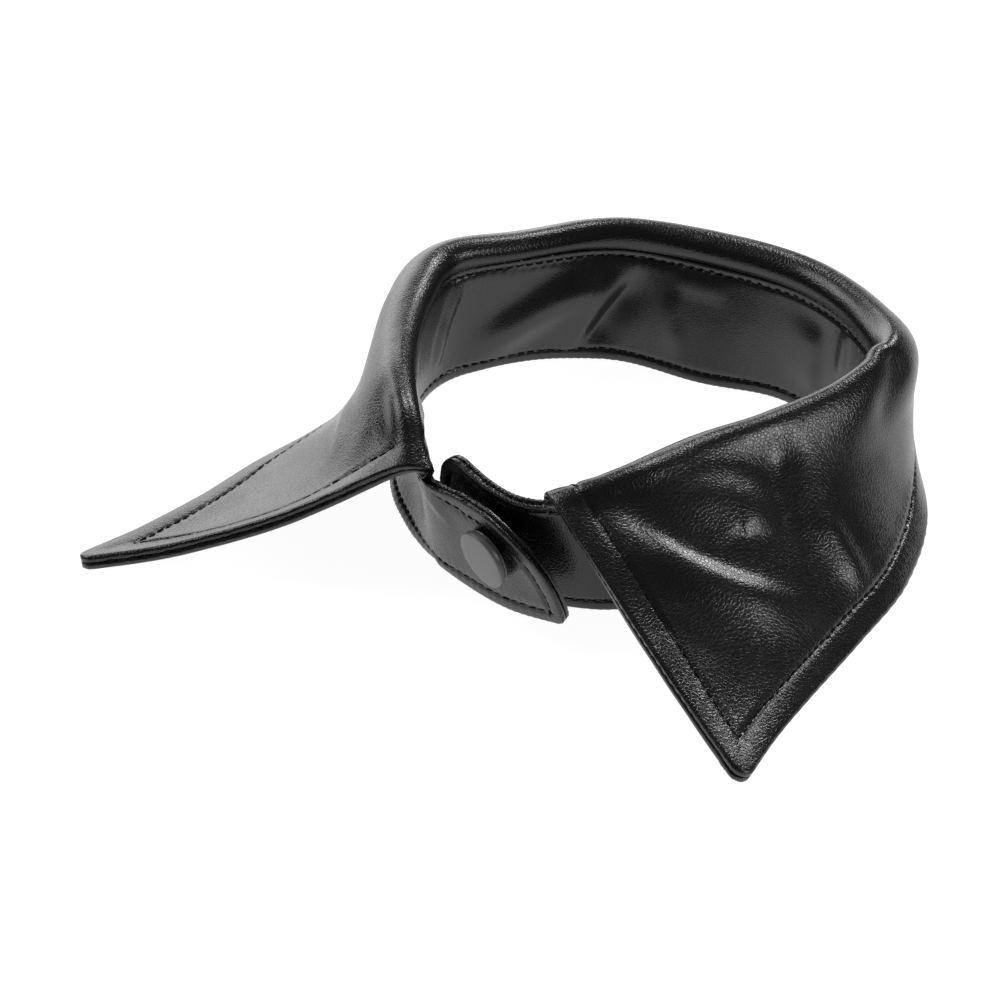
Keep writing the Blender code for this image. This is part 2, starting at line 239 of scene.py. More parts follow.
print("the tab's foot starts at", stand_strip(np.array(0.0), np.array(0.0)).round(1))

# %% The middle surface of the leaf
NEAR_TOP = 0.8  # height on the stand from which its direction at the top edge is taken


def leaf_point(row, share):
    """The leaf's middle surface; row counts its sections, share is 0 at the seam, 1 at the hem."""
    place = spline(PLACES, row)[..., 0]
    top = stand_point(place, np.ones_like(place))
    below = stand_point(place, np.full_like(place, NEAR_TOP))
    seam = top + unit(top - below) * SEAM_GAP
    hem = spline(HEMS, row)
    reach, climb, belly = np.moveaxis(spline(CRESTS, row), -1, 0)[..., None]
    out = unit((hem - seam) * (1, 1, 0))
    shoulder = seam + UP * climb * SHOULDER_UP + out * reach * SHOULDER_OUT
    face = unit(hem - shoulder)
    swell = unit(out - face * dot(out, face)) * belly
    sections = (
        seam,
        seam + UP * climb * RISE_UP - out * climb * RISE_LEAN,
        seam + UP * climb + out * reach * CREST_SHARE,
        shoulder,
        shoulder + (hem - shoulder) / 3 + swell,
        shoulder + (hem - shoulder) * 2 / 3 + swell,
        hem,
    )
    return spline_across(np.stack(sections), share)


def normals_of(surface, across, up, step=0.01):
    """Where a surface faces: into the neck on the stand, upward and outward on the leaf."""
    along = surface(across + step, up) - surface(across - step, up)
    rise = surface(across, up + step) - surface(across, up - step)
    return unit(np.cross(along, rise))


BACK_ROW = np.array([9.0])
back_fall = leaf_point(BACK_ROW, np.array([1.0])) - leaf_point(BACK_ROW, np.array([0.0]))
print("from seam to hem at the back:", round(float(length(back_fall)[0, 0]), 1), "mm")

# %% [markdown]
# ## Creases
#
# Leather that has been folded and worn keeps soft ridges and troughs. They could be simulated,
# but the pose of this collar is known, so each crease is listed: a curve over three spots
# of the cloth, with a width on each side and a depth. A ridge has a depth above zero and a trough
# one below. Their ends fade out. Rows and shares say where a crease lies, and its sizes are in
# millimetres. The first width is on the hem's side of a crease that runs toward higher rows.
# %% The creases of the leaf and of the stand
Crease = namedtuple("Crease", "row_a up_a row_b up_b row_c up_c width far_width depth")
LEAF_CREASES = (
    Crease(15.1, 0.90, 16.2, 0.695, 17.3, 0.50, 9, 4, 2.3),  # left leaf, across its middle
    Crease(15.2, 0.72, 15.05, 0.585, 16.5, 0.455, 8, 7, 1.8),  # under the roll, turning down
    Crease(13.7, 0.47, 14.5, 0.60, 15.1, 0.82, 5, 6, -1.8),
    Crease(14.25, 0.67, 14.42, 0.80, 14.5, 0.95, 4, 4, 1.2),
    Crease(16.3, 0.84, 16.85, 0.76, 17.4, 0.69, 3, 3, 0.4),
    Crease(12.0, 0.12, 12.05, 0.24, 12.2, 0.38, 2, 3, 1.2),  # the pinched corner of the roll
    Crease(12.05, 0.36, 12.5, 0.48, 13.0, 0.60, 5, 5, -1.4),  # and the dent below it
    Crease(2.9, 0.40, 1.9, 0.46, 0.9, 0.53, 4, 4, -0.8),  # right leaf, beside the roll
    Crease(3.6, 0.66, 2.6, 0.63, 1.6, 0.62, 3, 3, 0.8),
    Crease(6.2, 0.14, 7.5, 0.13, 9.0, 0.14, 2, 2, -0.4),  # along the roll at the back
    Crease(9.3, 0.14, 10.3, 0.14, 11.3, 0.15, 2, 2, -0.4),
    Crease(5.0, 0.60, 5.4, 0.75, 6.2, 0.90, 6, 5, 1.2),  # hidden: right side and back
    Crease(8.6, 0.58, 9.3, 0.72, 10.4, 0.80, 6, 5, 1.4),
    Crease(10.9, 0.50, 11.2, 0.70, 11.9, 0.88, 7, 5, -1.2),
    Crease(7.2, 0.50, 7.6, 0.66, 7.5, 0.90, 3, 5, 0.8),
)
STAND_CREASES = (
    Crease(9.97, 0.78, 9.22, 0.50, 7.98, 0.05, 5, 5, 3.0),  # the wide fold on the inner side
    Crease(10.23, 0.90, 9.73, 0.45, 9.35, 0.02, 2, 6, 1.8),
    Crease(10.37, 0.88, 9.91, 0.45, 9.60, 0.04, 6, 2.5, -1.8),
    Crease(8.35, 0.96, 7.83, 0.55, 7.57, 0.12, 1.5, 3, 1.0),
    Crease(7.78, 0.66, 7.66, 0.45, 7.53, 0.20, 1.5, 2, 0.6),
    Crease(10.66, 0.75, 10.62, 0.45, 10.74, 0.15, 2, 3, 0.6),
    Crease(10.56, 0.86, 10.90, 0.83, 11.25, 0.85, 3, 3, 0.6),
    Crease(12.36, 0.84, 12.37, 0.50, 12.46, 0.14, 2.5, 8, 1.3),
    Crease(12.84, 0.98, 12.85, 0.75, 12.85, 0.45, 2, 2, 0.8),
    Crease(3.04, 0.90, 2.68, 0.80, 2.32, 0.68, 1.5, 3, -0.4),  # on the tab
    Crease(5.40, 0.85, 5.38, 0.50, 5.63, 0.12, 5, 3, 1.1),  # hidden: both sides
    Crease(6.85, 0.80, 6.39, 0.45, 6.21, 0.15, 3, 6, -1.0),
    Crease(14.60, 0.88, 14.79, 0.55, 15.17, 0.20, 5, 5, 1.3),
    Crease(16.10, 0.80, 16.23, 0.50, 16.13, 0.18, 3, 4, -0.9),
)
print(len(LEAF_CREASES), "creases on the leaf,", len(STAND_CREASES), "on the stand")

# %% Lay creases on a surface
CREASE_SPOTS = 121  # spots along a crease to which distances are measured
FADE = 0.35  # share of a crease's length over which each end fades
SEAM_HOLD = 6  # how quickly creases begin beside the seam of stand and leaf, which stays flat
FINE_STEP = 0.002  # rows and shares between which a creased surface's direction is taken


def smooth(share):
    """An even start and stop between 0 and 1."""
    share = np.clip(share, 0, 1)
    return share * share * (3 - 2 * share)


def crease_height(surface, points, rows, ups, crease):
    """How far one crease lifts each point off the plain surface."""
    share = np.linspace(0, 1, CREASE_SPOTS)
    first, second = (1 - share) * (1 - 2 * share), 4 * share * (1 - share)
    third = share * (2 * share - 1)
    path_rows = crease.row_a * first + crease.row_b * second + crease.row_c * third
    path_ups = crease.up_a * first + crease.up_b * second + crease.up_c * third
    path = surface(path_rows, path_ups)
    spots = points.reshape(-1, 3)
    apart = dot(spots, spots) + dot(path, path)[:, 0] - 2 * spots @ path.T
    nearest = np.argmin(apart, axis=1)
    away = np.sqrt(np.maximum(np.min(apart, axis=1), 0)).reshape(rows.shape)
    nearest = nearest.reshape(rows.shape)
    ahead_rows, ahead_ups = np.gradient(path_rows)[nearest], np.gradient(path_ups)[nearest]
    side = ahead_rows * (ups - path_ups[nearest]) - ahead_ups * (rows - path_rows[nearest])
    width = np.where(side > 0, crease.width, crease.far_width)
    fade = smooth(np.minimum(share, 1 - share) / FADE)[nearest]
    return crease.depth * fade * np.exp(-((away / width) ** 2))


def creased(surface, rows, ups, creases, seam_up):
    """The points of a grid on a surface, lifted by its creases."""
    points = surface(rows, ups)
    height = sum(crease_height(surface, points, rows, ups, crease) for crease in creases)
    height = height * smooth(np.abs(ups - seam_up) * SEAM_HOLD)
    return points + normals_of(surface, rows, ups, FINE_STEP) * height[..., None]


def grid_normals(points):
    """Where a grid of points faces, from its neighbours on both sides."""
    return unit(np.cross(np.gradient(points, axis=0), np.gradient(points, axis=1)))


print("the largest crease is", max(crease.depth for crease in STAND_CREASES), "mm high")

# %% [markdown]
# ## Where the mesh is fine
#
# A turned edge is a fold with a radius of a millimetre, and a row of stitches is a narrow
# channel. The mesh needs narrow faces there and wide ones between. Distances from the edge, in
# millimetres, say where its lines run, and the surface is measured so that each line keeps its
# distance all the way round.
# %% Lines at set distances from the edges
EDGE_LINES = (0, 0.12, 0.35, 0.7, 1.2, 1.9, 2.8)  # mm from a folded edge
ROW_SAMPLES, SHARE_SAMPLES = 500, 120  # how finely a surface is measured


def distances(total, first_zone, last_zone, count):
    """Distances along a line: the set ones near its two ends, and count even steps between."""
    middle = np.linspace(first_zone[-1], total - last_zone[-1], count + 1)[1:-1]
    return np.concatenate((first_zone, middle, total - np.array(last_zone[::-1])))


def spots_on(surface, last, end_zone, foot_zone, top_zone, columns, lines):
    """Rows and shares of a grid whose lines keep their distance from the four edges."""
    rows = np.linspace(0, last, ROW_SAMPLES)
    shares = np.linspace(0, 1, SHARE_SAMPLES)
    grid = surface(rows[:, None] + 0 * shares, 0 * rows[:, None] + shares)
    climbs = np.cumsum(length(np.diff(grid, axis=1))[..., 0], axis=1)
    climbs = np.hstack((np.zeros((len(rows), 1)), climbs))
    line_shares = [
        np.interp(distances(climb[-1], foot_zone, top_zone, lines), climb, shares)
        for climb in climbs
    ]
    spots = []
    for line in np.array(line_shares).T:
        run = np.concatenate(([0], np.cumsum(length(np.diff(surface(rows, line), axis=0))[:, 0])))
        wanted = np.interp(distances(run[-1], end_zone, end_zone, columns), run, rows)
        spots.append((wanted, np.interp(wanted, rows, line)))
    return [np.array(part).T for part in zip(*spots)]


print("an edge has lines at", EDGE_LINES, "mm")

# %% [markdown]
# ## Lines of stitches
#
# A topstitch runs at an even distance inside the edge and turns where the edge turns. The outline
# is moved inward on the cloth, and the points that come too near another edge are dropped, so
# corners turn by themselves.
# %% Measure along lines, and find the nearest points
INSET_STEP, EDGE_STEP, ROW_STEP = 0.3, 0.4, 0.35  # mm between the points that distances go to


def run_of(line):
    """How far along a line each of its points is."""
    return np.concatenate(([0], np.cumsum(length(np.diff(line, axis=0))[:, 0])))


def even_points(line, step):
    """The same line with its points an even step apart."""
    run = run_of(line)
    wanted = np.linspace(0, run[-1], max(2, round(run[-1] / step) + 1))
    return np.stack([np.interp(wanted, run, line[:, axis]) for axis in range(3)], axis=-1)


def tree_of(points):
    """A search tree that finds the nearest of many points."""
    tree = KDTree(len(points))
    for index, point in enumerate(points):
        tree.insert(point, index)
    tree.balance()
    return tree


def nearest_on(line, points):
    """Distance from each point to a line, and how far along the line that is."""
    tree = tree_of(line)
    found = [tree.find(point) for point in points.reshape(-1, 3)]
    run = run_of(line)
    away = np.array([distance for _, _, distance in found])
    along = run[[index for _, index, _ in found]]
    return away.reshape(points.shape[:-1]), along.reshape(points.shape[:-1])


print("the leaf's hem is about", round(run_of(HEMS)[-1]), "mm from tip to tip")

# %% Move an outline inward
STRAY = 0.2  # mm by which a moved point may be nearer to the outline than it should be


def inset_line(outline, normals, insets):
    """The line inside an outline, whose cloth is on its right seen from the normals' side."""
    ahead = unit(np.gradient(outline, axis=0))
    moved = outline + unit(np.cross(ahead, normals)) * insets[:, None]
    away, _ = nearest_on(even_points(outline, INSET_STEP), moved)
    return moved[away > insets - STRAY]


def free_border(field):
    """The values of a grid along three edges: first end, far edge, last end."""
    return np.concatenate((field[0], field[1:, -1], field[-1, -2::-1]))


def whole_border(field):
    """The same, and back along the fourth edge."""
    return np.concatenate((free_border(field), field[-2:0:-1, 0]))


print("the way round a grid of nine points:", whole_border(np.arange(9).reshape(3, 3)))

# %% [markdown]
# ## A ply with turned edges
#
# Each of the four plies is a wall of leather whose edges are turned in and folded flat. It could
# be a single sheet with a Solidify modifier, but the fold at the edge, the thicker band where the
# turned-in allowance lies, and the channel that the stitches pull need their own heights. So the
# wall is a flat grid, extruded once, and both of its layers are laid on the middle surface: the
# near one next to the other ply, and the far one, which shows.
# %% The cloth's sizes, and the pull of a row of stitches
PLY = 1.3  # one ply of leather with its backing
TURNED_EDGE = 0.4  # what a turned edge adds to it
SKIN = SEAM_GAP / 2  # from the middle surface to the near side of a ply
NEAR_ROUND, FAR_ROUND = 0.4, 1.2  # rounding of a turned edge, beside the other ply and on its face
SEAM_ROUND = 0.25  # the same for the edges that meet in the seam of stand and leaf
CLOSED = 0.06  # share of a rounding at which its fold is closed
PITCH = 2.8  # from one stitch to the next
CHANNEL_DEEP, CHANNEL_WIDE = 0.45, 0.5  # of the channel that the stitches pull
HOLE_DEEP = 0.20  # what the needle's holes add to its depth
SWELL_HIGH, SWELL_AWAY, SWELL_WIDE = 0.05, 1.5, 0.9  # of the soft swell on both sides of it


def channel_depth(away, along):
    """How far stitches pull the leather in, deepest at the holes, with a swell beside them."""
    turn = np.cos(2 * np.pi * along / PITCH)
    pull = (CHANNEL_DEEP + HOLE_DEEP * turn) * np.exp(-((away / CHANNEL_WIDE) ** 2))
    beside = np.exp(-(((away - SWELL_AWAY) / SWELL_WIDE) ** 2))
    swell = (SWELL_HIGH - SWELL_HIGH * turn) * beside
    return (pull - swell)[..., None]


print("a hole is", round(float(channel_depth(np.array(0.0), np.array(0.0))[0]), 2), "mm deep")

# %% Round corners, and slow waves
CORNER_REACH = 4  # radii from a corner within which its rounding moves the cloth
WAVES = ((28, 0.30), (9, 0.10))  # size and height of the leather's own slow waves


def round_corner(points, corner, one_way, other_way, radius):
    """Draw a cloth's corner in to a circle that touches both of its edges."""
    into_cloth = unit(one_way + other_way)
    half = np.arccos(dot(one_way, into_cloth))
    centre = corner + into_cloth * radius / np.sin(half)
    across = unit(one_way - other_way)
    outward, aside = -dot(points - centre, into_cloth), dot(points - centre, across)
    turned_away = np.pi / 2 - half - np.arctan2(np.abs(aside), outward)
    near = length(points - corner) < CORNER_REACH * radius
    shrink = np.where(near & (turned_away > 0), 1 - np.cos(turned_away), 0)
    return points - shrink * (aside * across - outward * into_cloth)


def waves(points):
    """Slow, uneven waves, as a piece of leather has of its own."""
    height = np.zeros(points.shape[:-1] + (1,))
    for size, high in WAVES:
        found = [high * noise.noise(Vector(point) / size) for point in points.reshape(-1, 3)]
        height += np.array(found).reshape(height.shape)
    return height


print("waves of", [size for size, _ in WAVES], "mm across")


# %% From a bmesh to a piece
def mesh_of(name, bm):
    """A finished bmesh as mesh data."""
    mesh = bpy.data.meshes.new(name)
    bm.to_mesh(mesh)
    bm.free()
    return mesh


def in_scene(name, data):
    """A new object with this data, put into the scene."""
    made = bpy.data.objects.new(name, data)
    bpy.context.scene.collection.objects.link(made)
    return made


def add_mesh(name, bm):
    """A finished bmesh as a smooth object that rides on the collar."""
    bmesh.ops.recalc_face_normals(bm, faces=bm.faces)
    mesh = mesh_of(name, bm)
    mesh.shade_smooth()
    made = in_scene(name, mesh)
    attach(made, "root")
    return made


def wall(name, near, far):
    """A closed wall: a flat grid, extruded once, its two layers laid on near and far points."""
    columns, lines = near.shape[0] - 1, near.shape[1] - 1
    bm = bmesh.new()
    bmesh.ops.create_grid(bm, x_segments=columns, y_segments=lines, size=1)
    below = bm.verts[:]
    raised = bmesh.ops.extrude_face_region(bm, geom=bm.faces[:], use_keep_orig=True)["geom"]
    above = [item for item in raised if isinstance(item, bmesh.types.BMVert)]
    for verts, layer in ((below, near), (above, far)):
        for vert in verts:
            column = round((vert.co.x + 1) / 2 * columns)
            line = round((vert.co.y + 1) / 2 * lines)
            vert.co = layer[column, line] * MM
    return add_mesh(name, bm)


def ply(name, points, normals, side, thick, edge_away, seam, channel):
    """One ply on its side of the middle surface: free edges fold wide, the seam's fold narrow."""
    half = thick / 2
    middle = points + normals * side * (SKIN + half)
    layers = []
    for way, most in ((-1, NEAR_ROUND), (1, FAR_ROUND)):
        rounding = np.minimum(half, np.where(seam, SEAM_ROUND, most)[..., None])
        inside = np.clip(edge_away[..., None] / rounding, CLOSED, 1)
        bulge = half - rounding * (1 - np.sqrt(1 - (1 - inside) ** 2))
        layers.append(middle + normals * side * way * bulge)
    near, far = layers
    far = far - normals * side * channel
    for layer in (near, far):
        layer[..., 2] = np.maximum(layer[..., 2], 0)
    made = wall(name, near, far)
    print(name, len(made.data.polygons) * 2, "triangles")
    return made


print("two plies and their gap are", 2 * (SKIN + PLY), "mm thick")

# %% [markdown]
# ## The stand
#
# The stand's two plies are bagged out: sewn face to face, turned, and topstitched round their
# outline. The stitches run 3 mm inside the foot, close under the seam of the leaf, and 4 mm
# inside the edges of the tab and the underlap.
# %% Lay out the stand
FOOT_ZONE = EDGE_LINES[:6] + (2.3, 2.6, 2.9, 3.2, 3.5, 3.8, 4.2, 4.8)
TOP_ZONE = EDGE_LINES[:4] + (1.1, 1.4, 1.7, 2.0, 2.4, 3.0, 3.4, 3.7, 4.0, 4.5)
END_ZONE = EDGE_LINES + (3.3, 3.6, 3.9, 4.4)
STAND_COLUMNS, STAND_LINES = 620, 13  # even steps between the zones
LEAF_FIRST, LEAF_LAST = 3, 19  # the stand rows between which the leaf is sewn on
CORNER_RADIUS = 2.8
CORNER_SPAN = 9  # grid lines over which an edge's direction at a corner is taken

shares, heights = spots_on(
    stand_strip, 1, END_ZONE, FOOT_ZONE, TOP_ZONE, STAND_COLUMNS, STAND_LINES
)
stand_rows = stand_place(shares, heights)
stand = creased(stand_point, stand_rows, heights, STAND_CREASES, 1)
stand = stand + grid_normals(stand) * waves(stand)
stand_normals = grid_normals(stand)
for end, inner in ((0, CORNER_SPAN), (-1, -1 - CORNER_SPAN)):
    corner = stand[end, 0]
    foot_way, end_way = unit(stand[inner, 0] - corner), unit(stand[end, CORNER_SPAN] - corner)
    stand = round_corner(stand, corner, foot_way, end_way, CORNER_RADIUS)
print("the stand's grid is", stand.shape[0], "by", stand.shape[1])

# %% The line of the stand's stitches
FOOT_INSET, SEAM_INSET, TAB_INSET = 2.9, 1.7, 3.7
INSET_TURN = 1.3  # stand rows beside the leaf over which the tab's inset takes over

stand_outline = whole_border(stand)
stand_border_normals = whole_border(stand_normals)
outline_rows = whole_border(stand_rows)
outline_heights = whole_border(heights)
insets = np.where(outline_heights > 0.5, SEAM_INSET, FOOT_INSET)
beyond_leaf = np.maximum(LEAF_FIRST - outline_rows, outline_rows - LEAF_LAST)
insets = insets + (TAB_INSET - insets) * smooth(beyond_leaf / INSET_TURN)
stand_stitches = inset_line(stand_outline, stand_border_normals, insets)
print("stand's outline:", round(run_of(stand_outline)[-1]), "mm")
print("stand's stitches:", round(run_of(stand_stitches)[-1]), "mm")

# %% Make the stand's two plies
stand_edge, _ = nearest_on(even_points(stand_outline, EDGE_STEP), stand)
stand_channel = channel_depth(*nearest_on(even_points(stand_stitches, ROW_STEP), stand))
stand_seam = (stand_rows > LEAF_FIRST) & (stand_rows < LEAF_LAST) & (heights > 0.5)
stand_thick = np.full(stand.shape[:-1] + (1,), PLY)
stand_wall = (stand_thick, stand_edge, stand_seam, stand_channel)
stand_outer = ply("stand_outer_cloth", stand, stand_normals, -1, *stand_wall)
stand_inner = ply("stand_inner_cloth", stand, stand_normals, 1, *stand_wall)

# %% [markdown]
# ## The leaf
#
# The leaf's plies are cut alike and bagged out too. Its free edges are folds with the allowance
# turned in, so a 7 mm band along them is thicker, and one row of stitches runs on that band's
# inner side. The points of a collar are turned with a blunt tool and end in a small round, so the
# grid's two corners are rounded.
# %% Lay out the leaf
LEAF_END = len(LEAF_ROWS) - 1
STITCH_ZONE = EDGE_LINES + (3.8, 4.9, 5.7, 6.2, 6.5, 6.8, 7.1, 7.6, 8.4, 9.4)
LEAF_COLUMNS, LEAF_LINES = 500, 40
WAVE_START = 8  # how quickly the waves begin beside the seam
TIP_RADIUS = 3.0
TIP_SPAN = 12  # grid lines over which an edge's direction at a tip is taken

leaf_row, leaf_share = spots_on(
    leaf_point, LEAF_END, STITCH_ZONE, EDGE_LINES, STITCH_ZONE, LEAF_COLUMNS, LEAF_LINES
)
leaf = creased(leaf_point, leaf_row, leaf_share, LEAF_CREASES, 0)
leaf = leaf + grid_normals(leaf) * waves(leaf) * smooth(leaf_share * WAVE_START)[..., None]
leaf_normals = grid_normals(leaf)
for end, inner in ((0, TIP_SPAN), (-1, -1 - TIP_SPAN)):
    tip = leaf[end, -1]
    hem_way, edge_way = unit(leaf[inner, -1] - tip), unit(leaf[end, -1 - TIP_SPAN] - tip)
    leaf = round_corner(leaf, tip, hem_way, edge_way, TIP_RADIUS)
print("the leaf's grid is", leaf.shape[0], "by", leaf.shape[1])

# %% The line of the leaf's stitches
LEAF_INSET, SEAM_CLEAR = 6.7, 4.5  # of the stitches, from the free edges and from the seam

leaf_outline = free_border(leaf)
leaf_border_normals = free_border(leaf_normals)
leaf_insets = np.full(len(leaf_outline), LEAF_INSET)
leaf_stitches = inset_line(leaf_outline, leaf_border_normals, leaf_insets)
leaf_stitches = leaf_stitches[nearest_on(leaf[:, 0], leaf_stitches)[0] > SEAM_CLEAR]
print("leaf's free edges:", round(run_of(leaf_outline)[-1]), "mm")
print("leaf's stitches:", round(run_of(leaf_stitches)[-1]), "mm")

# %% Make the leaf's two plies
BAND_SLOPE = 4  # mm over which the inner side of the thicker band falls
BAND_START, BAND_RISE = 1, 8  # mm from the seam where the band begins, and over which it grows
CHANNEL_START = 3  # mm from the seam over which the stitches' channel begins
SEAM_TURN = 3.0  # mm over which the leaf turns from the stand's direction to its own

free_edge, _ = nearest_on(even_points(leaf_outline, EDGE_STEP), leaf)
seam_edge, _ = nearest_on(even_points(leaf[:, 0], EDGE_STEP), leaf)
leaf_edge = np.minimum(free_edge, seam_edge)
band = smooth((LEAF_INSET - free_edge) / BAND_SLOPE)
band = band * smooth((seam_edge - BAND_START) / BAND_RISE)
leaf_thick = PLY + TURNED_EDGE * band[..., None]
leaf_channel = channel_depth(*nearest_on(even_points(leaf_stitches, ROW_STEP), leaf))
leaf_channel = leaf_channel * smooth(seam_edge / CHANNEL_START)[..., None]
seam_rows = leaf_row[:, :1]
seam_places = spline(PLACES, seam_rows)[..., 0]
seam_normals = normals_of(stand_point, seam_places, np.ones_like(seam_rows))
turn = smooth(seam_edge / SEAM_TURN)[..., None]
ply_normals = unit(seam_normals * (1 - turn) + leaf_normals * turn)
leaf_seam = seam_edge < free_edge
leaf_wall = (leaf_thick, leaf_edge, leaf_seam, leaf_channel)
leaf_upper = ply("leaf_upper_cloth", leaf, ply_normals, 1, *leaf_wall)
leaf_under = ply("leaf_under_cloth", leaf, ply_normals, -1, *leaf_wall)

# %% [markdown]
# ## Stitches
#
# A lockstitch shows as a row of short threads, each lying from one needle hole to the next. Every
# thread is a small ball, stretched to a stitch and laid on the leather along the row. They are
# modelled, not painted, so that light catches them.
# %% A row of stitches
STITCH_LONG, STITCH_WIDE, STITCH_HIGH = 2.4, 0.6, 0.4


def sew(name, spots, facings):
    """A row of stitches: one at each spot, lying along the row and facing outward."""
    bm = bmesh.new()
    bmesh.ops.create_uvsphere(bm, u_segments=8, v_segments=5, radius=1)
    ball = mesh_of("one stitch", bm)
    bm = bmesh.new()
    stretch = Matrix.Diagonal(
        (STITCH_LONG * MM / 2, STITCH_WIDE * MM / 2, STITCH_HIGH * MM / 2, 1)
    )
    for spot, way, facing in zip(spots, np.gradient(spots, axis=0), facings):
        facing = Vector(facing)
        along = (Vector(way) - facing * facing.dot(Vector(way))).normalized()
        turned = Matrix((along, facing.cross(along), facing)).transposed().to_4x4()
        stitch = ball.copy()
        stitch.transform(Matrix.Translation(Vector(spot) * MM) @ turned @ stretch)
        bm.from_mesh(stitch)
        bpy.data.meshes.remove(stitch)
    bpy.data.meshes.remove(ball)
    print(name, len(spots), "stitches")
    return add_mesh(name, bm)


# %% Topstitch the four plies
def laid_on(cloth, line):
    """Spots along a line, laid on the nearest side of a ply, and where the ply faces there."""
    # Extruding makes the side faces in a changing order. With its faces sorted, the tree finds
    # the same face in every run where two are equally near.
    faces = sorted(cloth.data.polygons, key=lambda face: tuple(face.center))
    surface = BVHTree.FromPolygons(
        [vert.co for vert in cloth.data.vertices], [face.vertices for face in faces]
    )
    found = [surface.find_nearest(Vector(spot) * MM) for spot in even_points(line, PITCH)]
    spots = np.array([spot for spot, _, _, _ in found]) / MM
    return spots, [facing for _, facing, _, _ in found]


def moved_out(line, grid, normals, side):
    """A line on the middle surface, moved to one outer side of the cloth."""
    tree = tree_of(grid.reshape(-1, 3))
    facing = normals.reshape(-1, 3)[[tree.find(spot)[1] for spot in line]]
    return line + facing * side * (PLY + SKIN)


threads = []
for cloth, line, grid, normals, side in (
    (stand_outer, stand_stitches, stand, stand_normals, -1),
    (stand_inner, stand_stitches, stand, stand_normals, 1),
    (leaf_upper, leaf_stitches, leaf, leaf_normals, 1),
    (leaf_under, leaf_stitches, leaf, leaf_normals, -1),
):
    row_name = cloth.name.replace("cloth", "stitches")
    threads.append(sew(row_name, *laid_on(cloth, moved_out(line, grid, normals, side))))

# %% [markdown]
# Where two turned edges lie together, the thread that joins them shows in the groove between. It
# runs on the leaf's free edges and on the tab's and the underlap's, apart from their foot.
# %% Sew the turned edges together
CORNER_CLEAR = 5.5  # mm without stitches beside a turned corner
SUNK = 0.1  # mm that an edge stitch lies inside the outline
ROW_CLEAR, FOOT_CLEAR = 0.1, 0.02  # stand rows beside the leaf, and share of height, without any


def edge_row(name, edge, normals, corners):
    """Stitches in the groove between two plies, along a free edge, but not round its corners."""
    spots = even_points(edge, PITCH)
    nearest = np.argmin(length(spots[:, None] - edge[None, :])[..., 0], axis=1)
    outward = -unit(np.cross(np.gradient(spots, axis=0), normals[nearest]))
    away = np.min([length(spots - corner)[:, 0] for corner in corners], axis=0)
    clear = away > CORNER_CLEAR
    return sew(name, (spots - outward * SUNK)[clear], outward[clear])


above_foot = outline_heights > FOOT_CLEAR
tab_part = (outline_rows < LEAF_FIRST - ROW_CLEAR) & above_foot
lap_part = (outline_rows > LEAF_LAST + ROW_CLEAR) & above_foot
tips = (leaf[0, -1], leaf[-1, -1])
edge_rows = [edge_row("leaf_edge_stitches", leaf_outline, leaf_border_normals, tips)]
for name, part, corner in (
    ("tab_edge_stitches", tab_part, stand[0, 0]),
    ("underlap_edge_stitches", lap_part, stand[-1, 0]),
):
    edge, normals = stand_outline[part], stand_border_normals[part]
    edge_rows.append(edge_row(name, edge, normals, (corner,)))

# %% [markdown]
# ## The snap
#
# The cap of a press snap is a turned disc with a rolled rim. It could be a cylinder with a bevel,
# but its profile is known, so it is spun round the snap's axis like a piece on a lathe. Its axis
# stands on the tab, where the solids have theirs.
# %% The snap's sizes, in millimetres along its axis from the tab's middle surface
SNAP_ROW, SNAP_HEIGHT = 1.22, 0.61  # where the axis stands on the tab
CAP_RADIUS, CAP_THICK, CAP_TILT = 7.5, 2.5, math.radians(5)
DISC_RADIUS, WASHER_RADIUS, POST_RADIUS, HOLE_RADIUS = 5.2, 4.5, 1.8, 2.3
WALL = SKIN + PLY  # the face of the cloth
SEAT = WALL + 0.4  # clear of the cloth's waves
CAP_BASE = SEAT + CAP_RADIUS * math.sin(CAP_TILT)
CROWN = CAP_BASE + CAP_THICK
POST_END = -SEAT - 0.5
UNDERLAP_DEPTH = 6.92  # from the tab's middle surface to the underlap's
LAP_SPACE = WALL + 1.5  # half the room for the underlap, which isn't square to the axis
STUD_BASE = -UNDERLAP_DEPTH + LAP_SPACE
WASHER_TOP = -UNDERLAP_DEPTH - LAP_SPACE
print("crown to washer:", round(CROWN - WASHER_TOP, 1), "mm; the cap:", CAP_RADIUS * 2, "mm wide")

# %% The snap's axis, and a lathe
LATHE_STEPS = 72
DOUBLES = 1e-4  # mm within which two vertices are one


def snap_axis():
    """The snap's place on the tab, as a matrix whose Z points outward."""
    row, height = np.array([SNAP_ROW]), np.array([SNAP_HEIGHT])
    spot = Vector(stand_point(row, height)[0])
    outward = -Vector(normals_of(stand_point, row, height)[0])
    return Matrix.Translation(spot) @ outward.to_track_quat("Z", "Y").to_matrix().to_4x4()


def lathe(name, profile, place):
    """A round piece: a profile of (radius, height) in mm, spun round the axis of place."""
    bm = bmesh.new()
    verts = [bm.verts.new((radius, 0, height)) for radius, height in profile]
    closing = verts[1:] + verts[:1] if profile[0][0] > 0 else verts[1:]
    edges = [bm.edges.new(pair) for pair in zip(verts, closing)]
    bmesh.ops.spin(
        bm, geom=verts + edges, axis=(0, 0, 1), angle=math.tau, steps=LATHE_STEPS, use_merge=True
    )
    bmesh.ops.remove_doubles(bm, verts=bm.verts, dist=DOUBLES)
    bmesh.ops.transform(bm, matrix=Matrix.Scale(MM, 4) @ place, verts=bm.verts)
    return add_mesh(name, bm)


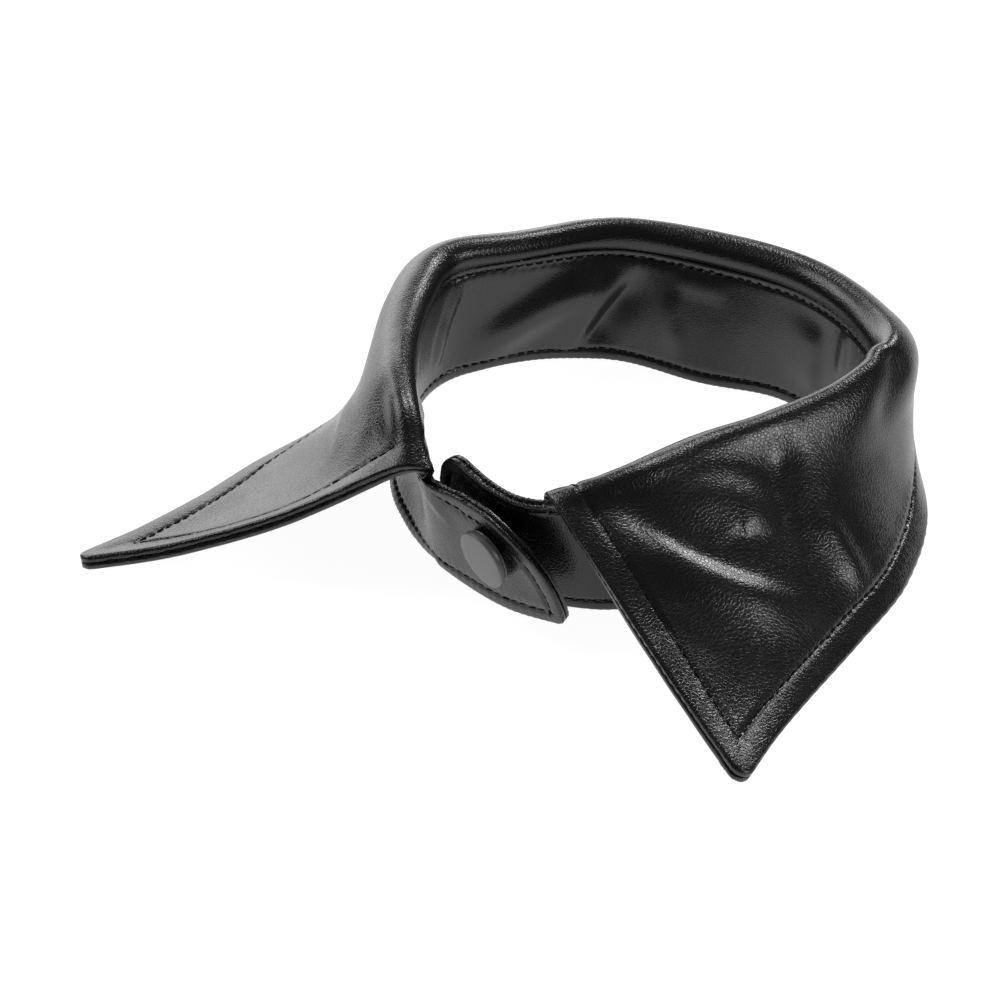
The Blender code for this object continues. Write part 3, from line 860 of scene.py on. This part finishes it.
def arc(centre, radius, first, last, steps=6):
    """Points of a rounding in a profile; angles in degrees from the outward direction."""
    angles = np.radians(np.linspace(first, last, steps))
    return [(centre[0] + radius * math.cos(a), centre[1] + radius * math.sin(a)) for a in angles]


AXIS = snap_axis()
TILTED = AXIS @ Matrix.Rotation(-CAP_TILT, 4, "Y")
print("snap axis points to", [round(value, 2) for value in AXIS.to_3x3().col[2]])

# %% Turn the cap and its post
BEAD, LIP, BROW = 0.32, 0.3, 0.45  # roundings of the cap's rim, from the cloth outward
UNDERSIDE = CAP_BASE + 0.15

cap_profile = [(0, POST_END), (POST_RADIUS, POST_END), (POST_RADIUS, UNDERSIDE), (5.6, UNDERSIDE)]
cap_profile += arc((6.9, CAP_BASE + BEAD), BEAD, -90, 90)
cap_profile += [(6.95, CAP_BASE + 0.8)]  # the groove between bead and lip
cap_profile += arc((CAP_RADIUS - LIP, CAP_BASE + 1.15), LIP, -80, 0, 4)
cap_profile += arc((CAP_RADIUS - BROW, CROWN - BROW), BROW, 0, 90)
cap_profile += [(5.5, CROWN + 0.02), (3.0, CROWN + 0.05), (0, CROWN + 0.06)]
cap = lathe("cap_of_snap", cap_profile, TILTED)
print(cap.name, len(cap.data.polygons), "faces")

# %% Turn the socket, the stud and the washer
DISC_EDGE, THIN_EDGE = 0.4, 0.25  # roundings of the socket, and of the stud and washer
DISC_THICK = 2 * THIN_EDGE  # the stud's disc and the washer

socket_profile = arc((DISC_RADIUS - DISC_EDGE, -SEAT - 0.5), DISC_EDGE, -80, 80)
socket_profile += [(HOLE_RADIUS, -SEAT), (HOLE_RADIUS, -SEAT - 1.0)]
socket = lathe("socket_of_snap", socket_profile, AXIS)

RIVET = WASHER_TOP - 0.7  # the riveted end of the stud's post
stud_profile = [(0, RIVET), (POST_RADIUS - 0.3, RIVET), (POST_RADIUS, WASHER_TOP - 0.4)]
stud_profile += [(POST_RADIUS, STUD_BASE)]
stud_profile += arc((DISC_RADIUS - THIN_EDGE, STUD_BASE + THIN_EDGE), THIN_EDGE, -90, 90)
stud_profile += [(POST_RADIUS, STUD_BASE + DISC_THICK)]
stud_profile += [(POST_RADIUS, POST_END - 0.3), (0, POST_END - 0.3)]
stud = lathe("stud_of_snap", stud_profile, AXIS)

washer_profile = arc((WASHER_RADIUS - THIN_EDGE, WASHER_TOP - THIN_EDGE), THIN_EDGE, -90, 90)
washer_profile += [(HOLE_RADIUS, WASHER_TOP), (HOLE_RADIUS, WASHER_TOP - DISC_THICK)]
washer = lathe("washer_of_snap", washer_profile, AXIS)
print("turned:", [piece.name for piece in (socket, stud, washer)])

# %% [markdown]
# ## Leather
#
# The cloth is garment leather, drum dyed and embossed with a fine pebble grain, then given a thin
# semi-gloss finish. The eye sees it by its highlights alone: a black that mirrors light softly,
# broken up by grains of just under a millimetre with fine valleys between. Object coordinates
# keep the grain at its real size.
# %% Colours, nodes and a new material
def colour(text):
    """An sRGB hex colour as the linear colour that a shader needs."""
    parts = [int(text[start : start + 2], 16) / 255 for start in (1, 3, 5)]
    linear = [
        part / 12.92 if part <= 0.04045 else ((part + 0.055) / 1.055) ** 2.4 for part in parts
    ]
    return (*linear, 1)


def node(tree, kind, settings, links):
    """Add a node, set its properties and values, and link its inputs."""
    made = tree.nodes.new(kind)
    for name, value in settings.items():
        if isinstance(name, int) or name in made.inputs:
            made.inputs[name].default_value = value
        else:
            setattr(made, name, value)
    for name, source in links.items():
        tree.links.new(source, made.inputs[name])
    return made


def new_material(name):
    """A material, its node tree and its shader."""
    made = bpy.data.materials.new(name)
    made.use_nodes = True
    return made, made.node_tree, made.node_tree.nodes["Principled BSDF"]


BLACK_DYE = "#101011"
print("the dyed leather reflects", round(colour(BLACK_DYE)[0] * 100, 2), "% of the light")

# %% Embossed leather
PORE_MM, PATCH_MM = 1.1, 14  # the leather's pores, and patches of uneven finish


def embossed_leather(name, grain_mm, grain_high_mm, rough, shine):
    """Drum-dyed leather, embossed and sprayed: soft highlights on dark grains, matt valleys."""
    made, tree, shader = new_material(name)
    place = node(tree, "ShaderNodeTexCoord", {}, {}).outputs["Object"]
    grain = grain_mm * MM
    # A slow noise bends the cells, so that no two grains are alike.
    slow = {"Scale": 0.35 / grain, "Detail": 2.0}
    wander = node(tree, "ShaderNodeTexNoise", slow, {"Vector": place})
    bend = {"operation": "SCALE", "Scale": 0.5 * grain}
    shift = node(tree, "ShaderNodeVectorMath", bend, {"Vector": wander.outputs["Color"]})
    add = {"operation": "ADD"}
    moved = node(tree, "ShaderNodeVectorMath", add, {0: place, 1: shift.outputs[0]})
    # Cells with soft borders are the embossed pebbles; their low borders catch less light.
    cells = {"feature": "DISTANCE_TO_EDGE", "Scale": 1 / grain}
    grains = node(tree, "ShaderNodeTexVoronoi", cells, {"Vector": moved.outputs[0]})
    border = {"interpolation_type": "SMOOTHSTEP", "From Min": 0.0, "From Max": 0.22}
    pebbles = node(tree, "ShaderNodeMapRange", border, {"Value": grains.outputs["Distance"]})
    fine = {"Scale": 1 / (PORE_MM * MM), "Detail": 1.0}
    pores = node(tree, "ShaderNodeTexNoise", fine, {"Vector": place})
    blend = {"operation": "MULTIPLY_ADD", 1: 0.2}
    both = {0: pores.outputs["Fac"], 2: pebbles.outputs[0]}
    height = node(tree, "ShaderNodeMath", blend, both)
    relief = {"Strength": 1.0, "Distance": grain_high_mm * MM}
    bump = node(tree, "ShaderNodeBump", relief, {"Height": height.outputs[0]})
    # The sprayed finish is uneven from patch to patch, and matt in the valleys.
    uneven = {"Scale": 1 / (PATCH_MM * MM), "Detail": 3.0}
    patches = node(tree, "ShaderNodeTexNoise", uneven, {"Vector": place})
    spread = {"From Min": 0.3, "From Max": 0.7, "To Min": rough - 0.03, "To Max": rough + 0.04}
    worn = node(tree, "ShaderNodeMapRange", spread, {"Value": patches.outputs["Fac"]})
    matt = {"To Min": 0.06, "To Max": 0.0}
    valleys = node(tree, "ShaderNodeMapRange", matt, {"Value": pebbles.outputs[0]})
    gloss = node(tree, "ShaderNodeMath", add, {0: worn.outputs[0], 1: valleys.outputs[0]})
    shader.inputs["Base Color"].default_value = colour(BLACK_DYE)
    shader.inputs["IOR"].default_value = 1.5
    shader.inputs["Specular IOR Level"].default_value = shine
    tree.links.new(gloss.outputs[0], shader.inputs["Roughness"])
    tree.links.new(bump.outputs[0], shader.inputs["Normal"])
    print(name, "has a grain", grain_mm, "mm across and", grain_high_mm, "mm high")
    return made


LEATHER = embossed_leather("embossed_garment_leather", 0.95, 0.028, rough=0.24, shine=0.5)
LINING = embossed_leather("smooth_lining_leather", 0.7, 0.015, rough=0.26, shine=0.65)

# %% [markdown]
# ## Metal and thread
#
# The cap is stamped brass under a black stoved lacquer: smooth, with a soft satin shine. Its grey
# base colour is a painted reflection of the bright floor. The hidden pieces of the snap are
# blackened brass. The thread is a spun polyester: its fibres scatter light, so it mirrors almost
# nothing and draws a darker line on the leather.
# %% Lacquered brass, blackened brass and polyester thread
def plain(name, base, rough, metallic=0.0, specular=0.5):
    """A material with even values, set on the shader itself."""
    made, _, shader = new_material(name)
    shader.inputs["Base Color"].default_value = colour(base)
    shader.inputs["Roughness"].default_value = rough
    shader.inputs["Metallic"].default_value = metallic
    shader.inputs["Specular IOR Level"].default_value = specular
    return made


# The cap's grey base colour is a painted reflection of the bright floor on black lacquer.
LACQUER = plain("black_lacquered_brass", "#5e5e60", 0.36)
BLACK_METAL = plain("blackened_brass", "#3a3937", 0.35, metallic=1.0)
THREAD = plain("spun_polyester_thread", "#0d0d0d", 0.75, specular=0.12)

for piece, finish in (
    (stand_outer, LEATHER),
    (stand_inner, LINING),
    (leaf_upper, LEATHER),
    (leaf_under, LINING),
    (cap, LACQUER),
    (socket, BLACK_METAL),
    (stud, BLACK_METAL),
    (washer, BLACK_METAL),
    *((row, THREAD) for row in threads + edge_rows),
):
    piece.data.materials.append(finish)
    print(piece.name, "is", finish.name)

# %% [markdown]
# ## What each piece stands for
#
# Every piece hides the solid that it replaces, and for cloth the area it covers is printed beside
# that of the size to which it was cut. The leaf is cut as a shallow curve, so its area is less
# than that of the rectangle round it.
for piece, solid, slot in (
    (stand_outer, "stand_outer", "collar_leather"),
    (stand_inner, "stand_inner", "lining_leather"),
    (leaf_upper, "leaf_upper", "collar_leather"),
    (leaf_under, "leaf_under", "lining_leather"),
    (cap, "snap_cap", "cap_lacquer"),
    (socket, "snap_socket", "snap_metal"),
    (stud, "snap_stud", "snap_metal"),
    (washer, "snap_washer", "snap_metal"),
):
    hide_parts(solid)
    print(piece.name, "stands for", solid)

STAND_CUT = (0.036, 0.416)  # metres, as cut
LEAF_CUT = (0.095, 0.46)

for cloth, cut, held, rows_on_it in (
    (stand_outer, STAND_CUT, "stretched", [threads[0], *edge_rows[1:]]),
    (stand_inner, STAND_CUT, "stretched", [threads[1]]),
    (leaf_upper, LEAF_CUT, "folded", [threads[2], edge_rows[0]]),
    (leaf_under, LEAF_CUT, "folded", [threads[3]]),
):
    area = sum(face.area for face in cloth.data.polygons) / 2
    print(cloth.name, "covers", round(area * 1e4), "cm2 of", round(cut[0] * cut[1] * 1e4))
    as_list(rows_on_it)

# %% [markdown]
# ## Floor, light and camera
#
# Black leather is drawn by what it mirrors. A white floor and soft lamps stand behind and on both
# sides, each where a fold mirrors it, so the rolls get their pale rims. The floor is painted
# light:
# it glows by itself, and its glow fades toward the right as painted shade, which with the dark
# side of the studio keeps the near leaf black.
# %% A white floor that glows, its glow faded to the right as painted shade
FLOOR_HALF = 3  # metres from its middle to its sides
TO_RIGHT = (0.875, 0.483, 0)  # the direction in which its glow fades
FADE_START, FADE_END = 0.17, 0.4  # metres in that direction
FULL_GLOW, LAST_GLOW = 0.96, 0.12

bm = bmesh.new()
bmesh.ops.create_grid(bm, x_segments=1, y_segments=1, size=FLOOR_HALF)
floor = in_scene("floor", mesh_of("floor", bm))
floor_paint = plain("glowing_studio_floor", "#868686", 0.9)
floor_tree = floor_paint.node_tree
floor_shader = floor_tree.nodes["Principled BSDF"]
floor_shader.inputs["Emission Color"].default_value = colour("#ffffff")
floor_place = node(floor_tree, "ShaderNodeTexCoord", {}, {}).outputs["Object"]
# Painted shade: the floor's glow fades toward the right, so that the near leaf mirrors less light.
rightward = {"operation": "DOT_PRODUCT", 1: TO_RIGHT}
to_right = node(floor_tree, "ShaderNodeVectorMath", rightward, {0: floor_place})
fading = {
    "interpolation_type": "SMOOTHSTEP",
    "From Min": FADE_START,
    "From Max": FADE_END,
    "To Min": FULL_GLOW,
    "To Max": LAST_GLOW,
}
glow = node(floor_tree, "ShaderNodeMapRange", fading, {"Value": to_right.outputs["Value"]})
floor_tree.links.new(glow.outputs[0], floor_shader.inputs["Emission Strength"])
floor.data.materials.append(floor_paint)
print("the floor's glow falls from", FULL_GLOW, "to", LAST_GLOW)

# %% Lamps
WORLD_LIGHT = 0.08


def soft_lamp(name, place, target, width, height, power):
    """A large flat lamp that faces a spot: metres and watts."""
    lamp = bpy.data.lights.new(name, "AREA")
    lamp.shape, lamp.size, lamp.size_y, lamp.energy = "RECTANGLE", width, height, power
    made = in_scene(name, lamp)
    made.location = place
    made.rotation_euler = (Vector(place) - Vector(target)).to_track_quat("Z", "Y").to_euler()
    print(name, power, "W")


soft_lamp("back_left_lamp", (-1.0, 0.9, 0.35), (0, 0, 0.1), 1.4, 0.7, 8)
soft_lamp("back_lamp", (0.10, 1.02, 0.60), (0, 0, 0), 0.25, 0.25, 3)
soft_lamp("high_lamp", (-0.16, 0.61, 1.02), (0, 0, 0), 0.3, 0.3, 4.5)
soft_lamp("right_lamp", (1.0, 0.16, 0.56), (0, 0, 0), 0.35, 0.35, 4)
soft_lamp("left_lamp", (-0.89, 0.0, 0.80), (0, 0, 0), 0.6, 0.6, 5)
world = bpy.data.worlds.new("studio")
world.use_nodes = True
world.node_tree.nodes["Background"].inputs["Color"].default_value = colour("#ffffff")
world.node_tree.nodes["Background"].inputs["Strength"].default_value = WORLD_LIGHT
bpy.context.scene.world = world
bpy.context.scene.view_settings.view_transform = "Standard"

# %% The camera
AZIMUTH, ELEVATION = math.radians(28.9), math.radians(32.5)
DISTANCE, LENS = 0.8, 113.76  # metres from what it looks at, and mm
AIM = Vector((-0.0186, -0.025, 0)) + Vector(NECK) * MM

level = math.cos(ELEVATION)
back = Vector((math.sin(AZIMUTH) * level, -math.cos(AZIMUTH) * level, math.sin(ELEVATION)))
camera = in_scene("camera", bpy.data.cameras.new("camera"))
camera.data.lens = LENS
camera.location = AIM + back * DISTANCE
camera.rotation_euler = back.to_track_quat("Z", "Y").to_euler()
bpy.context.scene.camera = camera
print("the camera looks down", round(math.degrees(ELEVATION), 1), "degrees")
